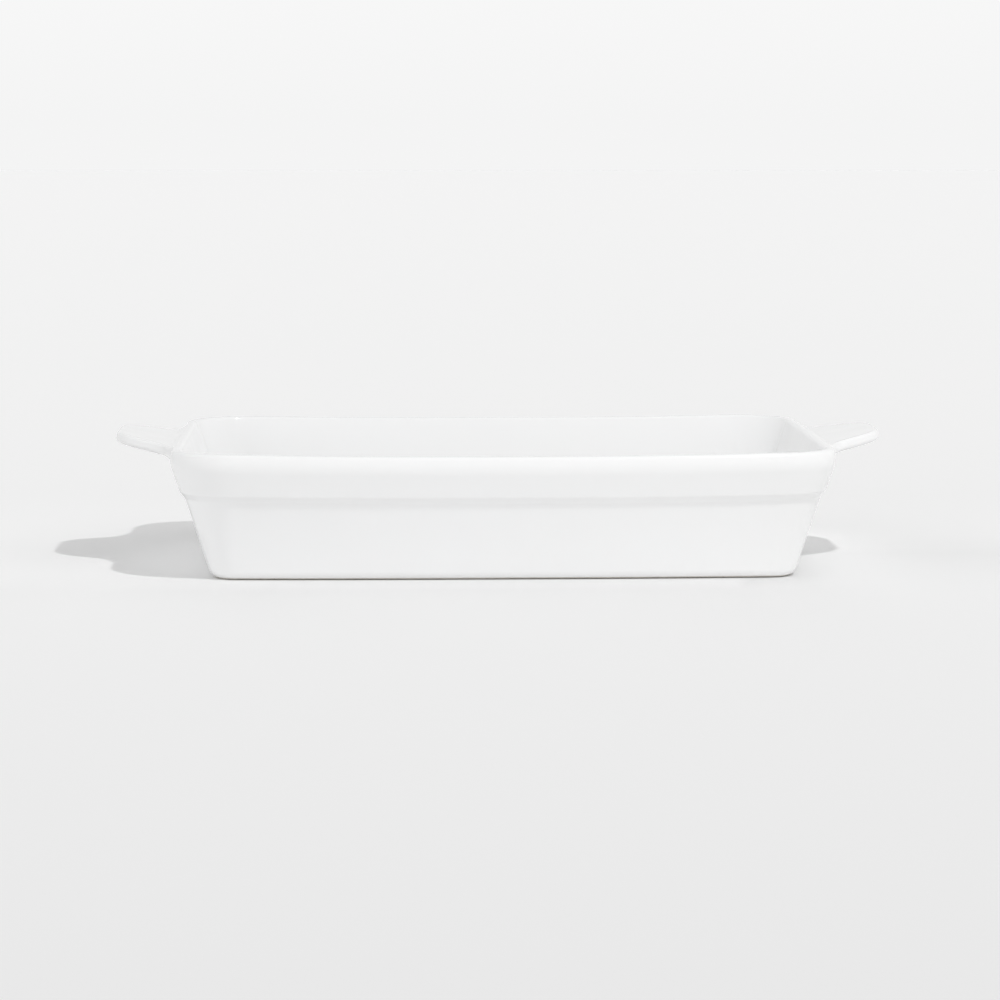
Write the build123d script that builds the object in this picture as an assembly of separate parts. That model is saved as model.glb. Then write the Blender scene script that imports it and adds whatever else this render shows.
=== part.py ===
from build123d import *

import os
from math import cos, radians, sin, tan

# A rectangular stoneware lasagna dish, with a stepped collar under its rim and a wide lug at each end.
# Millimetres, +Z up, +X along the long side, origin on the table under the middle of the dish.

# Overall sizes. The rim's length and width are taken where the collar's faces would meet its top.
rim_length = 358.2
rim_width = 246.0
rim_height = 68.4

# Lower wall, floor and foot ring
base_corner_radius = 14.0
wall_lean = 17.9
wall_thickness = 5.6
base_round = 8.0
floor_thickness = 6.2
floor_round = 8.5
recess_depth = 1.2
foot_width = 5.0
foot_slope = 1.0

# Collar, the thicker band under the rim, and the soft step that it ends in
step_height = 44.3
step_width = 1.7
step_rise = 3.4
step_round = 4.0
collar_lean = 19.0

# Rim: the collar's face rolls in over the last stretch, then turns over the top
roll_height = 6.5
roll_inset = 1.2
roll_round = 14.0
rim_outer_round = 2.4
rim_inner_round = 2.2

# As fired, the long sides sink and bow a little between the corners, most of the way evenly
rim_sink = 1.35
side_bow = 2.5
side_fullness = 2.6
side_stations = 7

# Lug handles, luted on at the two ends
handle_reach = 30.4
handle_slope = 10.5
handle_thickness = 5.7
handle_drop = 1.7
handle_tip_half = 29.5
handle_waist_half = 47.3
handle_waist_run = 3.7
handle_root_margin = 12.0
handle_root_reach = 6.0
handle_tip_round = 27.0
handle_flare_round = 18.0
handle_top_round = 1.4
handle_under_bevel = 1.8
handle_blend = 2.6
handle_seat = 1.5


def lean_out(height, angle):
    """How far a face that leans out by angle has gone out at a height."""
    return height * tan(radians(angle))


def level_of(thickness, angle):
    """What a thickness, square to a leaning face, measures along the level."""
    return thickness / cos(radians(angle))


# The wall's section is drawn in a plane that stands across the wall. Its first coordinate runs outwards
# from the line through the centres of the corners, and its second one is the height.
step_base = base_corner_radius + lean_out(step_height, wall_lean)
rim_reach = step_base + step_width + lean_out(rim_height - step_height, collar_lean)
centre_x = rim_length / 2 - rim_reach
centre_y = rim_width / 2 - rim_reach
floor_top = recess_depth + floor_thickness
foot_outer = base_corner_radius - base_round * tan(radians(90 - wall_lean) / 2)
foot_inner = foot_outer - foot_width
handle_root_half = centre_y - handle_root_margin
handle_lift = (handle_thickness - handle_under_bevel) * sin(radians(handle_slope))
handle_run = (handle_reach - handle_lift) / cos(radians(handle_slope))


def wall_face(height):
    return base_corner_radius + lean_out(height, wall_lean)


def collar_face(height):
    return rim_reach - lean_out(rim_height - height, collar_lean)


def cavity_face(height):
    return wall_face(height) - level_of(wall_thickness, wall_lean)


def wall_section(sink=0, bow=0):
    """The wall and its share of the floor, where the rim has sunk and the side has bowed out so far."""
    low_step = step_height - step_rise / 2 - sink * step_height / rim_height
    high_step = low_step + step_rise
    top = rim_height - sink
    roll = top - roll_height
    corners = [
        (0, recess_depth),
        (foot_inner - foot_slope + bow, recess_depth),
        (foot_inner + bow, 0),
        (wall_face(0) + bow, 0),
        (wall_face(low_step) + bow, low_step),
        (collar_face(high_step) + bow, high_step),
        (collar_face(roll) + bow, roll),
        (collar_face(roll) - roll_inset + bow, top),
        (cavity_face(top) + bow, top),
        (cavity_face(floor_top) + bow, floor_top),
        (0, floor_top),
    ]
    outer_rounds = [base_round, step_round, step_round, roll_round, rim_outer_round]
    rounds = [0, 0, 0, *outer_rounds, rim_inner_round, floor_round, 0]
    return make_face(FilletPolyline(corners, radius=rounds, close=True))


def bowl():
    """The wall's section carried all the way round the dish: turned about each corner's centre, pulled
    straight along the ends, and lofted along the sides through stations, where it sinks and bows."""
    level = wall_section()
    corner = Pos(centre_x, centre_y) * revolve(Plane.XZ * level, Axis.Z, 90)
    end = Pos(centre_x, centre_y) * extrude(Plane.XZ * level, 2 * centre_y)
    stations = []
    for number in range(side_stations):
        share = number / (side_stations - 1)
        swell = 1 - abs(2 * share - 1) ** side_fullness
        across = Plane((centre_x * (2 * share - 1), centre_y, 0), x_dir=(0, 1, 0), z_dir=(1, 0, 0))
        stations.append(across * wall_section(rim_sink * swell, side_bow * swell))
    side = loft(stations, ruled=True)
    floor = Pos(0, 0, recess_depth) * extrude(Rectangle(2 * centre_x, 2 * centre_y), floor_thickness)
    right = [corner, corner.mirror(Plane.XZ), end]
    left = [piece.mirror(Plane.YZ) for piece in right]
    return floor.fuse(*right, *left, side, side.mirror(Plane.XZ)).clean()


def lug():
    """One handle, in a frame of its own: the first coordinate runs outwards up its slope from the rim's
    end, and its top face is level with the frame."""
    corners = [
        (-handle_root_reach, -handle_root_half),
        (handle_waist_run, -handle_waist_half),
        (handle_run, -handle_tip_half),
        (handle_run, handle_tip_half),
        (handle_waist_run, handle_waist_half),
        (-handle_root_reach, handle_root_half),
    ]
    rounds = [0, handle_flare_round, handle_tip_round, handle_tip_round, handle_flare_round, 0]
    plan = make_face(FilletPolyline(corners, radius=rounds, close=True))
    slab = extrude(plan, -handle_thickness)
    top = slab.faces().sort_by(Axis.Z)[-1]
    slab = fillet(top.edges().sort_by(Axis.X)[1:], handle_top_round)
    under = slab.faces().sort_by(Axis.Z)[0]
    return chamfer(under.edges().sort_by(Axis.X)[1:], handle_under_bevel)


def with_lugs(pot):
    """The pot with a lug run into each end, and a hollow blend all round each root."""
    slope = radians(handle_slope)
    along = (cos(slope), 0, sin(slope))
    square = (-sin(slope), 0, cos(slope))
    right = Plane((rim_length / 2, 0, rim_height - handle_drop), x_dir=along, z_dir=square) * lug()
    for handle in (right, right.mirror(Plane.YZ)):
        joined = pot.fuse(handle)
        root = new_edges(pot, handle, combined=joined)
        pot = fillet(root, handle_blend)
    return pot


def parted(pot):
    """The pot's pieces: its body, and the lugs, cut from it where they are luted on, a seat's height out
    from the collar's face."""
    lean = radians(collar_lean)
    facing = (cos(lean), 0, -sin(lean))
    joint = Plane((rim_length / 2, 0, rim_height), x_dir=(0, 1, 0), z_dir=facing).offset(handle_seat)
    beyond_right = joint * extrude(Rectangle(rim_width, rim_width), 2 * handle_reach)
    beyond_left = beyond_right.mirror(Plane.YZ)
    return {
        "dish_body": pot - beyond_right - beyond_left,
        "right_handle": pot & beyond_right,
        "left_handle": pot & beyond_left,
    }


os.makedirs("parts", exist_ok=True)
for node, piece in parted(with_lugs(bowl())).items():
    print(node, round(piece.volume), "cubic mm in", len(piece.solids()), "solid")
    export_step(piece, f"parts/{node}.step")
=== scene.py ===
# %% [markdown]
# # A white stoneware lasagna dish
# The dish is one fired pot: a deep rectangular bowl with leaning walls, a thicker collar under the rim, and
# a lug handle luted on at each end. It is dipped in white glaze, and only the ring that it stands on is
# wiped bare. The packed CAD model comes first, because every piece made here has to sit where it says.

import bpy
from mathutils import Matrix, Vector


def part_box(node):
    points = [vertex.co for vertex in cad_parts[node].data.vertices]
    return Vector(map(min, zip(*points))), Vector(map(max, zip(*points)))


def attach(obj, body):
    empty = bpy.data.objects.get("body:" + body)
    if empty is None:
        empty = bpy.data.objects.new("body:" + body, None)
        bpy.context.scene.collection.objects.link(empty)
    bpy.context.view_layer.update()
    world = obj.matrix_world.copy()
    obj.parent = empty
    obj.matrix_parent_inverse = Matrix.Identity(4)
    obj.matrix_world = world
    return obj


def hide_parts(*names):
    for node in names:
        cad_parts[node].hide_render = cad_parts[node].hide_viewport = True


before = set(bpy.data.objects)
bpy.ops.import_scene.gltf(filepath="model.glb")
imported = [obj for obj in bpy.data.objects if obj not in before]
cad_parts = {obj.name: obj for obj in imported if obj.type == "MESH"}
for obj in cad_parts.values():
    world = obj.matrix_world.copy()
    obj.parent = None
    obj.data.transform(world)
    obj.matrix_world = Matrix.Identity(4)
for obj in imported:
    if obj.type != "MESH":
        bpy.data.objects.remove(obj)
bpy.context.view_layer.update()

# %% [markdown]
# ## Sizes
# The sizes are the part's own, in millimetres, and Blender works in metres. What the frame knows is read
# from it. The rest describes the wall's section: how much it leans, how thick it is, and how its edges are
# rounded.

# %% Sizes
from bisect import bisect_right
from math import atan2, cos, e, pi, radians, sin, sqrt, tan

import bmesh
import bpy
from mathutils import Matrix, Vector

MM = 0.001

rim_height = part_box("dish_body")[1].z / MM

rim_length = 358.2
rim_width = 246.0
base_corner_radius = 14.0
wall_lean = radians(17.9)
wall_thickness = 5.6
base_round = 6.5
floor_thickness = 6.2
floor_round = 8.5
recess_depth = 1.2
foot_width = 5.0
foot_slope = 1.0

step_height = 44.3
step_width = 1.7
step_rise = 3.4
step_round = 4.0
collar_lean = radians(19.0)

roll_height = 6.5
roll_inset = 1.2
roll_round = 14.0
rim_outer_round = 2.4
rim_inner_round = 2.2

rim_sink = 1.35
side_bow = 2.46
side_fullness = 2.6
print("the rim stands", round(rim_height, 2), "mm above the table")

# %% [markdown]
# ## Rounded outlines
# Pressed clay has no sharp edges, so each outline here is drawn with sharp corners first and then turned
# over a radius at each one. An edge that is rounded in a few steps shades evenly only if the flat beside it
# ends in a narrow strip of its own, so each straight stretch gets a point a little way in from both of its
# ends.

# %% Turning a corner
EDGE_STRIP = 0.45


def straight(start, end):
    """Two points that hold the straight stretch from start to end flat."""
    strip = min(EDGE_STRIP, (end - start).length / 3)
    along = (end - start).normalized() * strip
    return [start + along, end - along]


def rounded(corners, rounds, steps, closed=True):
    """The outline through 2D corners, each turned over its round in as many steps as steps says."""
    corners = [Vector(corner) for corner in corners]
    befores = corners[-1:] + corners[:-1]
    afters = corners[1:] + corners[:1]
    turns = []
    for before, corner, after, size, count in zip(befores, corners, afters, rounds, steps):
        if not size:
            turns.append([corner])
            continue
        into = (corner - before).normalized()
        out = (after - corner).normalized()
        turn = atan2(into.cross(out), into.dot(out))
        start = corner - into * size * tan(abs(turn) / 2)
        side = 1 if turn > 0 else -1
        centre = start + Vector((-into.y, into.x)) * size * side
        arm = start - centre
        arc = []
        for number in range(count + 1):
            angle = turn * number / count
            arc.append(centre + Matrix.Rotation(angle, 2) @ arm)
        turns.append(arc)
    points = []
    for number, turn in enumerate(turns):
        points += turn
        last = number == len(turns) - 1
        if closed or not last:
            points += straight(turn[-1], turns[(number + 1) % len(turns)][0])
    return points


square = rounded([(0, 0), (9, 0), (9, 9), (0, 9)], [2] * 4, [4] * 4)
print("a square with rounds has", len(square), "points")

# %% [markdown]
# ## The wall's section
# A section cuts straight through the wall. Its first coordinate runs outwards from the line through the
# centres of the corners, and its second is the height. Firing lets the long sides sink and bow a little in
# the middle, so the section is a function of how far it has sunk and bowed there.

# %% Leaning faces
step_base = base_corner_radius + step_height * tan(wall_lean)
rim_reach = step_base + step_width + (rim_height - step_height) * tan(collar_lean)
centre_x = rim_length / 2 - rim_reach
centre_y = rim_width / 2 - rim_reach
floor_top = recess_depth + floor_thickness
foot_outer = base_corner_radius - base_round * tan((pi / 2 - wall_lean) / 2)
foot_inner = foot_outer - foot_width


def wall_face(height):
    return base_corner_radius + height * tan(wall_lean)


def collar_face(height):
    return rim_reach - (rim_height - height) * tan(collar_lean)


def cavity_face(height):
    return wall_face(height) - wall_thickness / cos(wall_lean)


print("corner centres at", round(centre_x, 2), round(centre_y, 2), "mm")

# %% The glazed section and the bare foot
# The glaze is wiped off below a line, where its edge stands out by a lip's thickness. The outline's corners
# are turned over as many faces each as the list says.
GLAZE_LINE = 1.0
GLAZE_LIP = 0.12
FLOOR_START = 2.0
TURN_FACES = (1, 10, 9, 12, 6, 6, 6, 16, 1)


def wall_outline(sink, bow, detail=1):
    """The section from the inside floor, over the rim, to the inner edge of the foot."""
    low_step = step_height - step_rise / 2 - sink * step_height / rim_height
    high_step = low_step + step_rise
    top = rim_height - sink
    roll = top - roll_height
    corners = [
        (FLOOR_START, floor_top),
        (cavity_face(floor_top) + bow, floor_top),
        (cavity_face(top) + bow, top),
        (collar_face(roll) - roll_inset + bow, top),
        (collar_face(roll) + bow, roll),
        (collar_face(high_step) + bow, high_step),
        (wall_face(low_step) + bow, low_step),
        (wall_face(0) + bow, 0),
        (foot_inner + bow, 0),
    ]
    inner_rounds = [floor_round, rim_inner_round]
    outer_rounds = [rim_outer_round, roll_round, step_round, step_round, base_round]
    rounds = [0, *inner_rounds, *outer_rounds, 0]
    steps = [detail * count for count in TURN_FACES]
    return rounded(corners, rounds, steps, closed=False)


level = wall_outline(0, 0)
wiped_from = next(
    number
    for number, point in enumerate(level)
    if number > len(level) / 2 and point.x > foot_outer and point.y < GLAZE_LINE
)


def glazed_section(sink, bow):
    """The glazed surface: down to the glaze's edge, and on under the bottom, hidden by the foot ring."""
    points = wall_outline(sink, bow)[:wiped_from]
    edge = points[-1].x
    hidden = GLAZE_LINE + GLAZE_LIP
    points += [
        Vector((edge - GLAZE_LIP, hidden)),
        Vector((foot_inner - foot_slope + bow, hidden)),
        Vector((foot_inner - 2 * foot_slope + bow, recess_depth)),
        Vector((FLOOR_START, recess_depth)),
    ]
    return points


def foot_section(sink, bow):
    """The bare ring: a closed outline, set back from the glaze by the thickness of the glaze's edge."""
    bottom = [point - Vector((GLAZE_LIP, 0)) for point in wall_outline(sink, bow)[wiped_from - 1:-1]]
    top = GLAZE_LINE + 2 * GLAZE_LIP
    inner = foot_inner - foot_slope * top / recess_depth + bow
    return [Vector((bottom[0].x, top))] + bottom + [Vector((foot_inner + bow, 0)), Vector((inner, top))]


print("points in the glazed section:", len(glazed_section(0, 0)))
print("points in the foot's section:", len(foot_section(0, 0)))

# %% [markdown]
# ## Carrying the section round
# The bowl could be a box with a bevel, or a lathe form that is stretched. Neither keeps the wall's section
# true in the corners and lets the sides sink. So the section is set up like a rib at many places round the
# dish: turned about the corner's centre in the corners, and shifted along the straight stretches between
# them. A skin of four-sided faces then joins each rib to the next.

# %% Ribs round the dish
# Each straight stretch is told by the signs of its start's and its end's coordinates.
CORNER_STEPS = 22
END_STEPS = 8
SIDE_STEPS = 40
STRETCHES = [(1, -1, 1, 1), (1, 1, -1, 1), (-1, 1, -1, -1), (-1, -1, 1, -1)]


def ribs():
    """Each rib's centre, outward direction and share of the sink and bow, anticlockwise from the right."""
    places = []
    for number, signs in enumerate(STRETCHES):
        facing = number * pi / 2
        along_end = number % 2 == 0
        count = END_STEPS if along_end else SIDE_STEPS
        start = Vector((signs[0] * centre_x, signs[1] * centre_y))
        end = Vector((signs[2] * centre_x, signs[3] * centre_y))
        for step in range(count):
            share = step / count
            swell = 0 if along_end else 1 - abs(2 * share - 1) ** side_fullness
            places.append((start.lerp(end, share), Vector((cos(facing), sin(facing))), swell))
        for step in range(CORNER_STEPS):
            angle = facing + pi / 2 * step / CORNER_STEPS
            places.append((end, Vector((cos(angle), sin(angle))), 0))
    return places


def carried(name, section, closed):
    """A mesh object whose skin joins the section's ribs all the way round the dish."""
    rings = []
    for centre, outward, swell in ribs():
        ring = []
        for point in section(rim_sink * swell, side_bow * swell):
            ring.append((*(centre + outward * point.x), point.y))
        rings.append(ring)
    count = len(rings[0])
    shape = bmesh.new()
    grid = [[shape.verts.new(Vector(place) * MM) for place in ring] for ring in rings]
    for ring, following in zip(grid, grid[1:] + grid[:1]):
        for number in range(count if closed else count - 1):
            after = (number + 1) % count
            shape.faces.new((ring[number], following[number], following[after], ring[after]))
    if not closed:
        shape.faces.new([ring[0] for ring in grid])
        shape.faces.new([ring[-1] for ring in reversed(grid)])
    bmesh.ops.recalc_face_normals(shape, faces=shape.faces)
    return finished(name, shape)


def finished(name, shape):
    """A smooth-shaded object from a bmesh, linked to the scene."""
    mesh = bpy.data.meshes.new(name)
    shape.to_mesh(mesh)
    shape.free()
    mesh.shade_smooth()
    thing = bpy.data.objects.new(name, mesh)
    bpy.context.scene.collection.objects.link(thing)
    return thing


bowl = carried("glazed_bowl", glazed_section, closed=False)
foot = carried("bare_foot_ring", foot_section, closed=True)
print("bowl faces:", len(bowl.data.polygons), "foot faces:", len(foot.data.polygons))

# %% [markdown]
# ## The lugs
# Each lug is a slab of clay a little under 6 mm thick that slopes up from the collar. Seen from above, its
# flanks draw in to a broad rounded tip. It could be a bevelled plate. Here the slab is skinned from rings,
# so that its root can follow the body's face: the same plan, moved in a little at each ring, goes over the
# rounded edge.

# %% The lug's sizes
lug_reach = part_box("right_handle")[1].x / MM - rim_length / 2
lug_slope = radians(10.5)
lug_thickness = 5.7
lug_drop = 1.73
lug_tip_half = 29.5
lug_waist_half = 47.3
lug_waist_run = 3.7
lug_root_margin = 12.0
lug_root_half = centre_y - lug_root_margin
lug_root_reach = 6.0
lug_tip_round = 27.0
lug_flare_round = 18.0
lug_top_round = 1.4
lug_under_round = 2.2
lug_under_bevel = 1.8
lug_run = (lug_reach - (lug_thickness - lug_under_bevel) * sin(lug_slope)) / cos(lug_slope)
print("a lug reaches", round(lug_reach, 2), "mm past the rim")

# %% Paths
class Path:
    """An outline in a plane, whose places are told by their length along it."""

    def __init__(self, points):
        self.points = points
        self.lengths = [0.0]
        lefts = []
        for start, end in zip(points, points[1:]):
            along = end - start
            self.lengths.append(self.lengths[-1] + along.length)
            lefts.append(Vector((-along.y, along.x)).normalized())
        pairs = zip(lefts[:1] + lefts, lefts + lefts[-1:])
        self.lefts = [(before + after).normalized() for before, after in pairs]

    def at(self, length, gap=0.0):
        """The place at a length along the path, and a gap to its left."""
        length = min(max(length, 0.0), self.lengths[-1])
        number = min(bisect_right(self.lengths, length), len(self.points) - 1) - 1
        share = (length - self.lengths[number]) / (self.lengths[number + 1] - self.lengths[number])
        left = self.lefts[number].lerp(self.lefts[number + 1], share).normalized()
        return self.points[number].lerp(self.points[number + 1], share) + left * gap

    def nearest(self, place):
        """The length at which the path comes nearest to a place, and the place's gap to its left."""
        best = None
        for number, (start, end) in enumerate(zip(self.points, self.points[1:])):
            along = end - start
            share = min(1, max(0, (place - start).dot(along) / along.length_squared))
            off = place - start - along * share
            if best is None or off.length < abs(best[1]):
                gap = off.length if along.cross(off) > 0 else -off.length
                best = (self.lengths[number] + share * along.length, gap)
        return best

    def length_where(self, across):
        """The length at which the path's first coordinate, which only grows, reaches a value."""
        number = max(1, bisect_right([point.x for point in self.points], across))
        start, end = self.points[number - 1], self.points[number]
        share = (across - start.x) / (end.x - start.x)
        return self.lengths[number - 1] + share * (self.lengths[number] - self.lengths[number - 1])


ledge = Path([Vector((0, 0)), Vector((4, 0)), Vector((4, -3))])
print("a place 1 mm above a path 7 mm long:", ledge.nearest(Vector((2, 1))))

# %% [markdown]
# A potter smears the joint between lug and body into a hollow fillet. A bevel over the joint would need
# both pieces in one mesh, and they stay two here, so the fillet is part of the lug: near the body every
# line along the lug spreads sideways over the body's face, as an arc does, and it ends where it lies flat
# on that face.

# %% The lug's plan, its edge and its fillet
PLAN_DETAIL = 40
FACE_DETAIL = 5
EDGE_FACES = 8
TOP_FILLET = (2.5, 3.4)
SIDE_FILLET = (3.2, 3.0)
UNDER_FILLET = (4.4, 4.4)


def half_plan(inset):
    """Half of the lug seen square to its top, from its root to the middle of its tip, moved in by inset."""
    corners = [
        Vector((-lug_root_reach, -lug_root_half)),
        Vector((lug_waist_run, -lug_waist_half)),
        Vector((lug_run, -lug_tip_half)),
        Vector((lug_run, 0)),
    ]
    sides = []
    for start, end in zip(corners, corners[1:]):
        along = (end - start).normalized()
        sides.append((start + Vector((-along.y, along.x)) * inset, along))
    moved = [sides[0][0]]
    for before, after in zip(sides, sides[1:]):
        reach = (after[0] - before[0]).cross(after[1]) / before[1].cross(after[1])
        moved.append(before[0] + before[1] * reach)
    moved.append(Vector((moved[-1].x, 0)))
    rounds = [0, lug_flare_round + inset, lug_tip_round - inset, 0]
    return Path(rounded(moved, rounds, [1, PLAN_DETAIL, PLAN_DETAIL, 1], closed=False))


def lug_edge():
    """How far in and how high each ring lies, from the top over the edge to the underside, and how far its
    surface faces up."""
    rows = [(lug_top_round + EDGE_STRIP, 0.0, 1.0)]
    for number in range(EDGE_FACES + 1):
        angle = pi / 2 * number / EDGE_FACES
        rows.append((lug_top_round * (1 - sin(angle)), -lug_top_round * (1 - cos(angle)), cos(angle)))
    rows.append((0.0, -lug_top_round - EDGE_STRIP, 0.0))
    rows.append((0.0, lug_under_round + EDGE_STRIP - lug_thickness, 0.0))
    for number in range(EDGE_FACES + 1):
        angle = pi / 2 * number / EDGE_FACES
        height = lug_under_round * (1 - sin(angle)) - lug_thickness
        rows.append((lug_under_round * (1 - cos(angle)), height, -sin(angle)))
    rows.append((lug_under_round + EDGE_STRIP, -lug_thickness, -1.0))
    return rows


def fillet_size(upward):
    """How far along the body and how far out from it the fillet reaches, where the lug faces up so far."""
    above_or_below = TOP_FILLET if upward > 0 else UNDER_FILLET
    weight = upward * upward
    return [weight * one + (1 - weight) * other for one, other in zip(above_or_below, SIDE_FILLET)]


end_face = [point + Vector((centre_x, 0)) for point in wall_outline(0, 0, FACE_DETAIL)]
rim_top = max(range(len(end_face)), key=lambda number: end_face[number].y)
end_face = Path([point for point in end_face[rim_top:] if point.y > step_height])
lug_root = Vector((rim_length / 2, rim_height - lug_drop))
lug_along = Vector((cos(lug_slope), sin(lug_slope)))
lug_square = Vector((-sin(lug_slope), cos(lug_slope)))
print("rings over the lug's edge:", len(lug_edge()), "and points in the body's face:", len(end_face.points))

# %% One ring of the lug
FILLET_STEPS = 14
PLAN_STEPS = 52
HIDDEN = 0.8
TRIES = 12


def run_to_gap(height, gap):
    """How far out along the lug a line at a height is when it has a gap to the body's face. Each try steps
    by what the last one missed."""
    run = 0.0
    for _ in range(TRIES):
        place = lug_root + lug_along * run + lug_square * height
        length, here = end_face.nearest(place)
        rise = (end_face.at(length, 1.0) - end_face.at(length)).dot(lug_along)
        run += (gap - here) / rise
    return run


def lug_ring(inset, height, upward):
    """A ring's points, from its hidden end in the body round the tip to the other hidden end."""
    plan = half_plan(inset)
    spread, reach = fillet_size(upward)
    sideways = sqrt(1 - upward * upward)
    half = []
    # The stretch near the body, from the fillet's end on the body's face to where it meets the slab
    for number in range(FILLET_STEPS + 1):
        angle = pi / 2 * (1 - number / FILLET_STEPS)
        run = run_to_gap(height, reach * (1 - sin(angle)))
        plan_length = plan.length_where(run)
        flat = lug_root + lug_along * run + lug_square * height
        length, gap = end_face.nearest(flat)
        grown = spread * (1 - cos(angle))
        risen = length - upward * grown
        flat += end_face.at(risen, gap) - end_face.at(length, gap)
        width = plan.at(plan_length).y - sideways * grown
        if not number:
            inner = end_face.at(risen, -HIDDEN)
            half.append(Vector((inner.x, width, inner.y)))
        half.append(Vector((flat.x, width, flat.y)))
    # The rest of the plan, to the middle of the tip
    for number in range(1, PLAN_STEPS + 1):
        share = number / PLAN_STEPS
        spot = plan.at(plan_length + share * (plan.lengths[-1] - plan_length))
        flat = lug_root + lug_along * spot.x + lug_square * height
        half.append(Vector((flat.x, spot.y, flat.y)))
    return half + [Vector((place.x, -place.y, place.z)) for place in reversed(half[:-1])]


print("points in a ring of the lug:", len(lug_ring(*lug_edge()[0])))

# %% Both lugs
def lug(name, side):
    """The lug on the side 1, right, or -1, left."""
    shape = bmesh.new()
    grid = []
    for row in lug_edge():
        places = [(place.x * side * MM, place.y * MM, place.z * MM) for place in lug_ring(*row)]
        grid.append([shape.verts.new(place) for place in places])
    count = len(grid[0])
    for ring, following in zip(grid, grid[1:]):
        for number in range(count - 1):
            shape.faces.new((ring[number], following[number], following[number + 1], ring[number + 1]))
    # The top and the underside are each closed by strips across the root and one face over the rest.
    across = FILLET_STEPS + 2
    for ring in (grid[0], grid[-1]):
        for number in range(across - 1):
            shape.faces.new((ring[number], ring[number + 1], ring[-number - 2], ring[-number - 1]))
        shape.faces.new(ring[across - 1:count - across + 1])
    shape.faces.new([ring[0] for ring in grid] + [ring[-1] for ring in reversed(grid)])
    bmesh.ops.recalc_face_normals(shape, faces=shape.faces)
    # The fillet ends on the body's face, and the shading mustn't run on into the strip hidden behind it.
    seam = {ring[number] for ring in grid for number in (1, -2)}
    for edge in shape.edges:
        edge.smooth = not seam.issuperset(edge.verts)
    return finished(name, shape)


right_lug = lug("glazed_lug_right", 1)
left_lug = lug("glazed_lug_left", -1)
print("faces in a lug:", len(right_lug.data.polygons))

# %% [markdown]
# ## Shader sums
# A shader is a net of nodes. Written out by hand it hides its arithmetic, so one small class lets a socket
# stand in a Python sum: each operator adds the Math node that does it.

# %% A socket that can be reckoned with
class Reading:
    """A number that a node gives, ready for use in sums."""

    def __init__(self, net, socket):
        self.net = net
        self.socket = socket

    def combine(self, operation, first, second):
        return self.net.add("ShaderNodeMath", {"operation": operation}, {0: first, 1: second}).out("Value")

    def __add__(self, other):
        return self.combine("ADD", self, other)

    def __radd__(self, other):
        return self.combine("ADD", other, self)

    def __sub__(self, other):
        return self.combine("SUBTRACT", self, other)

    def __rsub__(self, other):
        return self.combine("SUBTRACT", other, self)

    def __mul__(self, other):
        return self.combine("MULTIPLY", self, other)

    def __rmul__(self, other):
        return self.combine("MULTIPLY", other, self)

    def __truediv__(self, other):
        return self.combine("DIVIDE", self, other)

    def __rtruediv__(self, other):
        return self.combine("DIVIDE", other, self)

    def __pow__(self, other):
        return self.combine("POWER", self, other)

    def __rpow__(self, other):
        return self.combine("POWER", other, self)

    def at_least(self, other):
        return self.combine("MAXIMUM", self, other)

    def at_most(self, other):
        return self.combine("MINIMUM", self, other)

    def share(self):
        """The number, held between 0 and 1."""
        return self.at_least(0.0).at_most(1.0)

    def size(self):
        """The number without its sign."""
        return self.combine("ABSOLUTE", self, 0.0)


print("sums that a socket can stand in:", [name for name in vars(Reading) if name.startswith("__r")])

# %% [markdown]
# Every other node is made by one method of its net, which sets the node's settings first and then gives
# each of its sockets a value or a link. It keeps a material as short as a list of what feeds what.

# %% Nets of nodes
MIX_COLOURS = (6, 7)
MIX_RESULT = 2


class Made:
    """A node that a net has made, whose outputs are taken by name or place."""

    def __init__(self, net, node):
        self.net = net
        self.node = node

    def out(self, name):
        return Reading(self.net, self.node.outputs[name])


class Net:
    """The nodes of one material or of the world."""

    def __init__(self, tree):
        self.tree = tree
        tree.nodes.clear()

    def add(self, kind, settings=None, sockets=None):
        """Any node: its settings are set first, and then its sockets, each to a value or a link."""
        node = self.tree.nodes.new(kind)
        for name, value in (settings or {}).items():
            setattr(node, name, value)
        for name, value in (sockets or {}).items():
            if isinstance(value, Reading):
                self.tree.links.new(value.socket, node.inputs[name])
            else:
                node.inputs[name].default_value = value
        return Made(self, node)

    def blend(self, factor, first, second):
        """A colour between two. The Mix node's sockets for colours are told by place, not by name."""
        colours = dict(zip(MIX_COLOURS, (first, second)))
        made = self.add("ShaderNodeMix", {"data_type": "RGBA"}, {"Factor": factor, **colours})
        return made.out(MIX_RESULT)

    def noise(self, place, scale, detail):
        """A soft cloud of values over the surface, from the place on the object."""
        cloud = {"Vector": place, "Scale": scale, "Detail": detail}
        return self.add("ShaderNodeTexNoise", {}, cloud).out("Fac")

    def looked_at(self):
        """1 for what the camera sees, also in a mirror or through glass, and 0 for light on a surface."""
        rays = self.add("ShaderNodeLightPath")
        seen = rays.out("Is Camera Ray") + rays.out("Is Glossy Ray") + rays.out("Is Transmission Ray")
        return seen.at_most(1.0)


def material(name):
    """A new material and its empty net."""
    made = bpy.data.materials.new(name)
    made.use_nodes = True
    return made, Net(made.node_tree)


print("what a net can do:", [name for name in vars(Net) if not name.startswith("_")])

# %% [markdown]
# ## White glaze
# The glaze is a glassy coat over pale clay. It is nearly even in colour, a touch warmer and less glossy
# where it lies thin, and its surface is never quite flat: it has long, low waves from the dipping, and a
# fine orange-peel on top of them. The waves show only in what the glaze mirrors, so they go into the bump.

# %% Glaze
WAVE_SCALE = 22.0
WAVE_SHARE = 0.9
PEEL_SCALE = 260.0
PEEL_SHARE = 0.05
WAVE_DEPTH = 0.0006
POOL_SCALE = 9.0
THICK_GLAZE = (0.885, 0.888, 0.893, 1)
THIN_GLAZE = (0.875, 0.875, 0.872, 1)
LEAST_ROUGH = 0.13
MORE_ROUGH = 0.08
GLAZE_IOR = 1.5


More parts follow.
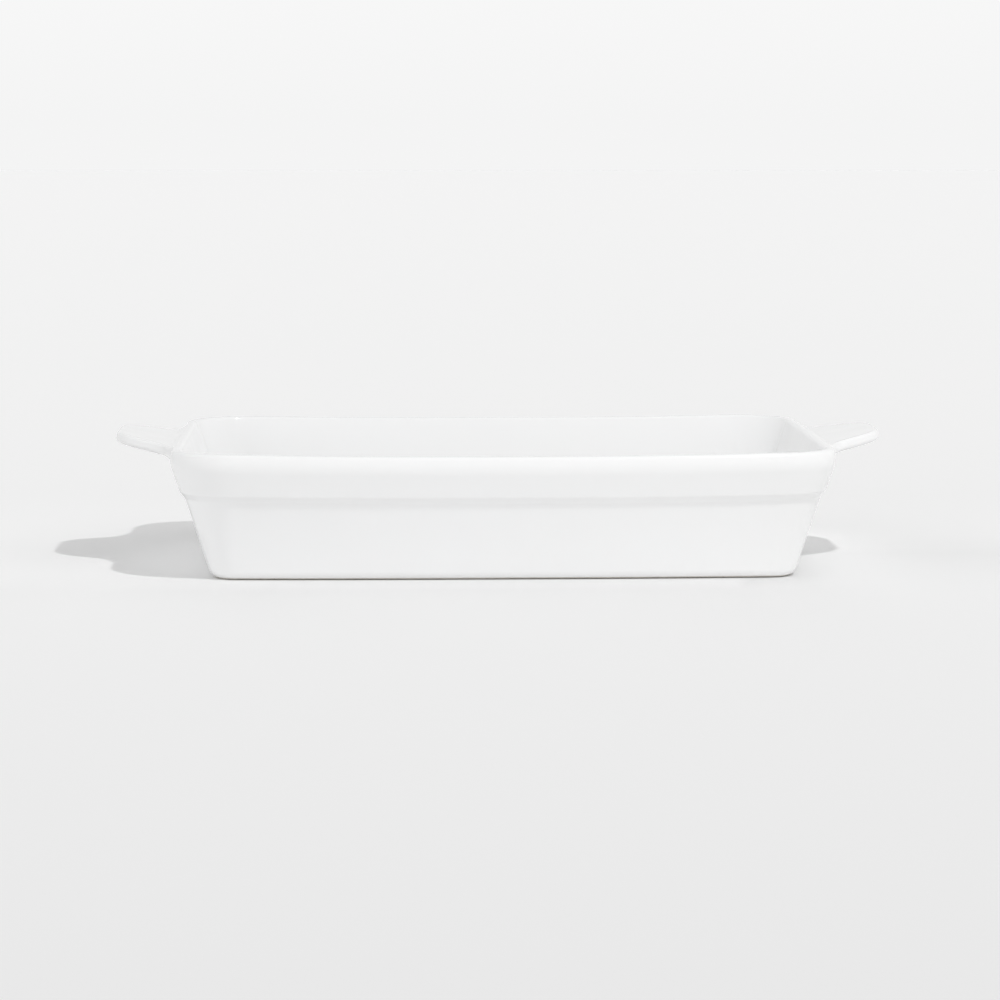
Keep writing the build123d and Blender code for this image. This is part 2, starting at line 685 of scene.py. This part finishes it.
def white_glaze():
    made, net = material("white_glaze")
    place = net.add("ShaderNodeTexCoord").out("Object")
    waves = net.noise(place, WAVE_SCALE, detail=1.0)
    peel = net.noise(place, PEEL_SCALE, detail=2.0)
    pooling = net.noise(place, POOL_SCALE, detail=3.0)
    height = waves * WAVE_SHARE + peel * PEEL_SHARE
    bump = net.add("ShaderNodeBump", {}, {"Strength": 1.0, "Distance": WAVE_DEPTH, "Height": height})
    shader = net.add(
        "ShaderNodeBsdfPrincipled",
        {},
        {
            "Base Color": net.blend(pooling, THICK_GLAZE, THIN_GLAZE),
            "Roughness": LEAST_ROUGH + pooling * MORE_ROUGH,
            "IOR": GLAZE_IOR,
            "Normal": bump.out("Normal"),
        },
    )
    net.add("ShaderNodeOutputMaterial", {}, {"Surface": shader.out("BSDF")})
    return made


glaze = white_glaze()
print("material:", glaze.name)

# %% [markdown]
# ## Bare clay
# The foot is wiped clean before firing, so that it doesn't stick to the kiln shelf. Fired stoneware clay is
# matt, off-white and a little sandy, with a few dark specks of iron.

# %% Clay
SAND_SCALE = 1400.0
SAND_DEPTH = 0.0001
SAND_STRENGTH = 0.6
SPECK_SCALE = 420.0
SPECK_CORE = 0.06
SPECK_EDGE = 0.16
DARK_CLAY = (0.74, 0.71, 0.65, 1)
PALE_CLAY = (0.83, 0.80, 0.74, 1)
IRON = (0.42, 0.36, 0.29, 1)
CLAY_ROUGH = 0.86


def bare_clay():
    made, net = material("fired_clay")
    place = net.add("ShaderNodeTexCoord").out("Object")
    sand = net.noise(place, SAND_SCALE, detail=3.0)
    specks = net.add("ShaderNodeTexVoronoi", {}, {"Vector": place, "Scale": SPECK_SCALE}).out("Distance")
    ends = {"Value": specks, "From Min": SPECK_CORE, "From Max": SPECK_EDGE}
    outside_speck = net.add("ShaderNodeMapRange", {}, ends).out("Result")
    colour = net.blend(outside_speck, IRON, net.blend(sand, DARK_CLAY, PALE_CLAY))
    grain = {"Strength": SAND_STRENGTH, "Distance": SAND_DEPTH, "Height": sand}
    bump = net.add("ShaderNodeBump", {}, grain)
    shader = net.add(
        "ShaderNodeBsdfPrincipled",
        {},
        {"Base Color": colour, "Roughness": CLAY_ROUGH, "Normal": bump.out("Normal")},
    )
    net.add("ShaderNodeOutputMaterial", {}, {"Surface": shader.out("BSDF")})
    return made


clay = bare_clay()
print("material:", clay.name)

# %% Dressing the pieces
for piece, finish, slot, stands_for in (
    (bowl, glaze, "white_glaze", "dish_body"),
    (right_lug, glaze, "white_glaze", "right_handle"),
    (left_lug, glaze, "white_glaze", "left_handle"),
    (foot, clay, "fired_clay", "dish_body"),
):
    piece.data.materials.append(finish)
    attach(piece, "root")
    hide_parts(stands_for)
    print(piece.name, "stands for", stands_for)

# %% [markdown]
# ## Light
# The photograph's two shadows, the long one on the left and the small one on the right, point back to one
# small lamp, above and to the right of the camera and quite near the dish. The rest of the light is soft.
# The world stands in for it: an even part from all sides, and four wide soft lights, low at the sides and
# in front, each brightest in one direction and fading away from it. The camera and mirror images see a pale
# backdrop in their place. The strengths were fitted so that the walls match the photograph.

# %% Key lamp
KEY_PLACE = Vector((0.51, -0.893, 1.362))
KEY_POWER = 34.9
KEY_RADIUS = 0.03

key_data = bpy.data.lights.new("key_lamp", "POINT")
key_data.energy = KEY_POWER
key_data.shadow_soft_size = KEY_RADIUS
key = bpy.data.objects.new("key_lamp", key_data)
key.location = KEY_PLACE
bpy.context.scene.collection.objects.link(key)
print("key lamp", round(KEY_PLACE.length, 2), "m from the dish")

# %% Soft light and backdrop
# Each soft light has a direction, a strength, and a power by which it fades away from that direction.
EVEN_LIGHT = 0.244
SOFT_LIGHTS = [
    (Vector((0.95, -0.1, 0.2)), 1.036, 2),
    (Vector((-1, 0, 0.1)), 0.937, 4),
    (Vector((-0.7, -0.7, 0.1)), 1.208, 4),
    (Vector((0.7, -0.7, 0.1)), 0.167, 4),
]
HORIZON_TONE = 0.906
SKY_RISE = 0.70
SKY_TOP = 0.94

world = bpy.data.worlds.new("studio")
bpy.context.scene.world = world
world.use_nodes = True
sky = Net(world.node_tree)
direction = sky.add("ShaderNodeTexCoord").out("Generated")
upness = sky.add("ShaderNodeSeparateXYZ", {}, {"Vector": direction}).out("Z")
backdrop = (HORIZON_TONE + SKY_RISE * upness.at_least(0.0)).at_most(SKY_TOP)
studio = EVEN_LIGHT
for way, light, focus in SOFT_LIGHTS:
    ways = {0: direction, 1: way.normalized()}
    facing = sky.add("ShaderNodeVectorMath", {"operation": "DOT_PRODUCT"}, ways).out("Value")
    studio = studio + light * facing.at_least(0.0) ** focus
seen = sky.looked_at()
strength = seen * backdrop + (1 - seen) * studio
background = sky.add("ShaderNodeBackground", {}, {"Color": (1, 1, 1, 1), "Strength": strength})
sky.add("ShaderNodeOutputWorld", {}, {"Surface": background.out("Background")})
print("soft lights in the world:", len(SOFT_LIGHTS), "over an even light of", EVEN_LIGHT)

# %% [markdown]
# ## Floor
# The dish stands on white paper that fades a little towards the camera. The paper is lit unevenly by a lamp
# so near, so what the camera sees is corrected for that: the wanted tone, over the light that reaches each
# place. The dish also shades the paper beside it from the low soft lights, and throws light on the paper in
# front of it. Both are evened out with painted light beside the dish and painted shade in front of it, and
# painted shade darkens the paper close to the dish's left end. The lamp's shadows stay. Whatever the paper
# shows, it throws the light of plain white paper back at the dish.

# %% Paper and its light
# The paper fades with 1 over the distance from a line in front of the dish, down to the nearest distance
# here. The lamp's light on level ground is reckoned as the tone that pure white would have in it.
FLOOR_HALF = 14.0
NEAR_FADE = 0.372
FADE_HEIGHT = 0.2366
FADE_BACK = 1.899
FADE_NEAREST = 0.92

floor_shape = bmesh.new()
bmesh.ops.create_grid(floor_shape, x_segments=1, y_segments=1, size=FLOOR_HALF)
floor = finished("floor", floor_shape)

paper, net = material("white_paper")
spot = net.add("ShaderNodeNewGeometry").out("Position")
split = net.add("ShaderNodeSeparateXYZ", {}, {"Vector": spot})
across = split.out("X")
towards = split.out("Y")
nearness = FADE_HEIGHT / (towards + FADE_BACK).at_least(FADE_NEAREST)
wanted = HORIZON_TONE - NEAR_FADE * nearness
lamp_gap = net.add("ShaderNodeVectorMath", {"operation": "DISTANCE"}, {0: spot, 1: KEY_PLACE}).out("Value")
lamp_light = KEY_POWER / (4 * pi * pi) * KEY_PLACE.z / lamp_gap ** 3
print("floor:", 2 * FLOOR_HALF, "m across")

# %% Painted light and shade round the dish
# Lifts and glows are shares of the wanted tone. Reaches, runs and places are metres.
SIDE_LIFT = 0.11
SHADE_REACH = 0.25
SHADE_BACK = 0.32
DARK_SHARE = 1.6
DARK_REACH = 0.04
FRONT_GLOW = 0.30
RIGHT_GLOW = 0.14
RIGHT_GLOW_RUN = 0.08
GLOW_REACH = 0.055
GLOW_SHIFT = 0.02
GLOW_SIDEWAYS = 0.10
LEFT_FRONT = -0.06
RIGHT_FRONT = 0.08
FRONT_RUN = 0.08
RIGHT_FROM = 0.12
RIGHT_RUN = 0.04

# How far each place is from the edge of the base
past_end = (across.size() - centre_x * MM).at_least(0.0)
past_side = (towards.size() - centre_y * MM).at_least(0.0)
beside_dish = ((past_end ** 2 + past_side ** 2) ** 0.5 - base_corner_radius * MM).at_least(0.0)

# Beside the dish painted light lifts the paper, but not in front and not far behind. Close to the dish, but
# for its right end, painted shade lowers it instead.
at_right = ((across - RIGHT_FROM) / RIGHT_RUN).share()
front_line = LEFT_FRONT + (RIGHT_FRONT - LEFT_FRONT) * at_right
in_front = ((front_line - towards) / FRONT_RUN).share()
beyond = (towards / SHADE_BACK).share()
painted_left_shade = DARK_SHARE * (1 - at_right) * e ** (beside_dish / -DARK_REACH)
painted_side_light = SIDE_LIFT * (1 - in_front) * (1 - beyond) * (1 - painted_left_shade) * e ** (beside_dish / -SHADE_REACH)

# In front of the dish painted shade lowers the paper by what the front wall throws on it
past_glow = ((across - GLOW_SHIFT).size() - centre_x * MM).at_least(0.0)
ahead = in_front * (1 - past_glow / GLOW_SIDEWAYS).at_least(0.0)
less_glow = ((across - RIGHT_FROM) / RIGHT_GLOW_RUN).share()
glow = FRONT_GLOW - (FRONT_GLOW - RIGHT_GLOW) * less_glow
lift = 1 + painted_side_light - glow * ahead * e ** (beside_dish / -GLOW_REACH)
print("the paper beside the dish is lifted by up to", SIDE_LIFT)

# %% The paper's finish
# What the soft lights give level ground was summed over the sky.
FLOOR_BOUNCE = 0.92
SOFT_ON_FLOOR = 0.374

# The paper's colour carries the painted light and shade round the dish, over the light that reaches it
corrected = wanted * lift / (EVEN_LIGHT + SOFT_ON_FLOOR + lamp_light)
shown = net.looked_at()
grey = shown * corrected + (1 - shown) * FLOOR_BOUNCE
tone = net.add("ShaderNodeCombineColor", {}, {"Red": grey, "Green": grey, "Blue": grey}).out("Color")
shader = net.add("ShaderNodeBsdfDiffuse", {}, {"Color": tone})
net.add("ShaderNodeOutputMaterial", {}, {"Surface": shader.out("BSDF")})
floor.data.materials.append(paper)
print("material:", paper.name)

# %% [markdown]
# ## Camera
# The camera's place was worked out from the dish's outline in the photograph: almost square on to the long
# side, six degrees above the table, and far enough away that the back rim is nearly as long as the front
# one.

# %% Camera
EYE_AZIMUTH = radians(-2.12)
EYE_ELEVATION = radians(6.32)
EYE_DISTANCE = 1.9095
LOOK_AT = Vector((0, 0, 0.032))
FOCAL_PIXELS = 3438.0
IMAGE_SIZE = 1000
CENTRE_PIXEL_X = 497.75
CENTRE_PIXEL_Y = 498.5
FAR_CLIP = 60

camera_data = bpy.data.cameras.new("camera")
camera_data.lens = camera_data.sensor_width * FOCAL_PIXELS / IMAGE_SIZE
camera_data.shift_x = 0.5 - CENTRE_PIXEL_X / IMAGE_SIZE
camera_data.shift_y = CENTRE_PIXEL_Y / IMAGE_SIZE - 0.5
camera_data.clip_end = FAR_CLIP
camera = bpy.data.objects.new("camera", camera_data)
back = Vector((
    sin(EYE_AZIMUTH) * cos(EYE_ELEVATION),
    -cos(EYE_AZIMUTH) * cos(EYE_ELEVATION),
    sin(EYE_ELEVATION),
))
camera.location = LOOK_AT + back * EYE_DISTANCE
camera.rotation_euler = back.to_track_quat("Z", "Y").to_euler()
bpy.context.scene.collection.objects.link(camera)
bpy.context.scene.camera = camera
bpy.context.scene.view_settings.view_transform = "Standard"
print("lens", round(camera_data.lens, 1), "mm, camera at", [round(x, 3) for x in camera.location])

# %% Bringing the scene up to date
bpy.context.view_layer.update()
